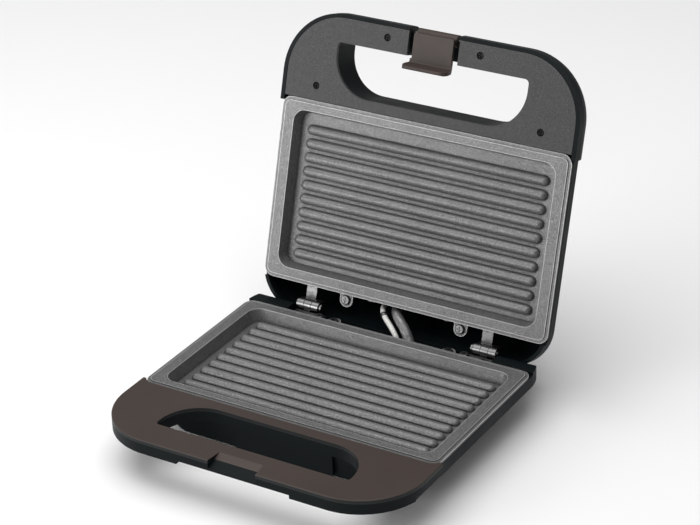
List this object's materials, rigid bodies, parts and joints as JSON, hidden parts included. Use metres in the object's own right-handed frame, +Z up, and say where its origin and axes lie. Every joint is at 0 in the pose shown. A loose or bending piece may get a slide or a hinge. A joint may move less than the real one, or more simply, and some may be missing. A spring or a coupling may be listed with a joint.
{
  "type": "panini press",
  "caption": "Compact panini press with its lid open: ribbed non-stick plates, loop handles on base and lid, a swing latch on the lid and rear hinges.",
  "frame": {"origin": "on the table under the middle of the object's box, lid open", "axes": "+X to the object's right seen from its handle side, +Y to the back where the hinges are, +Z up"},
  "size_m": [0.2266, 0.2832, 0.2289],
  "materials": {
    "brown_plastic": "smooth matte brown-grey",
    "dark_plastic": "smooth matte near-black",
    "black_steel": "blackened",
    "charcoal_panel": "fine spark texture",
    "nonstick_aluminium": "speckled non-stick coating on cast aluminium",
    "zinc_steel": "zinc plated",
    "heater_steel": "dull",
    "reflector_sheet": "mill",
    "rubber_black": "matte",
    "ceramic_white": "unglazed",
    "sleeve_grey": "varnished glass fibre",
    "lens_red": "clear tinted",
    "lens_green": "clear tinted",
    "lamp_glass": "clear",
    "black_plastic": "matte"
  },
  "bodies": {
    "base": {"base_shell": "dark_plastic", "base_handle_cover": "brown_plastic", "base_cover_screws": "zinc_steel", "rubber_feet": "rubber_black", "lower_grill_plate": "nonstick_aluminium", "lower_plate_screws": "zinc_steel", "lower_heater": "heater_steel", "lower_reflector": "reflector_sheet", "lower_reflector_screws": "zinc_steel", "hinge_base_leaf_right": "zinc_steel", "hinge_base_leaf_left": "zinc_steel", "hinge_pin_right": "zinc_steel", "hinge_pin_left": "zinc_steel", "base_hinge_screws": "zinc_steel", "thermostat": "black_plastic", "terminal_block": "ceramic_white", "cord_gland": "black_plastic", "wire_sleeve": "sleeve_grey", "earth_sleeve": "sleeve_grey", "sleeve_clip": "zinc_steel"},
    "lid": {"lid_shell": "dark_plastic", "lid_handle_panel": "charcoal_panel", "panel_screws": "black_steel", "upper_grill_plate": "nonstick_aluminium", "upper_plate_screws": "zinc_steel", "upper_heater": "heater_steel", "upper_reflector": "reflector_sheet", "upper_reflector_screws": "zinc_steel", "hinge_lid_leaf_right": "zinc_steel", "hinge_lid_leaf_left": "zinc_steel", "lid_hinge_screws": "zinc_steel", "power_lens": "lens_red", "power_lamp": "lamp_glass", "ready_lens": "lens_green", "ready_lamp": "lamp_glass", "latch_pin": "zinc_steel"},
    "latch": {"latch_clip": "brown_plastic"}
  },
  "joints": [
    {"name": "lid_hinge", "type": "hinge", "parent": "base", "child": "lid", "pos_m": [0, 0.06306, 0.03327], "axis": [1, 0, 0], "range_deg": [0, 106.46], "deforming": ["wire_sleeve", "earth_sleeve", "sleeve_clip"]},
    {"name": "latch_hinge", "type": "hinge", "parent": "lid", "child": "latch", "pos_m": [0, 0.12906, 0.22232], "axis": [1, 0, 0], "range_deg": [-120, 0]}
  ]
}
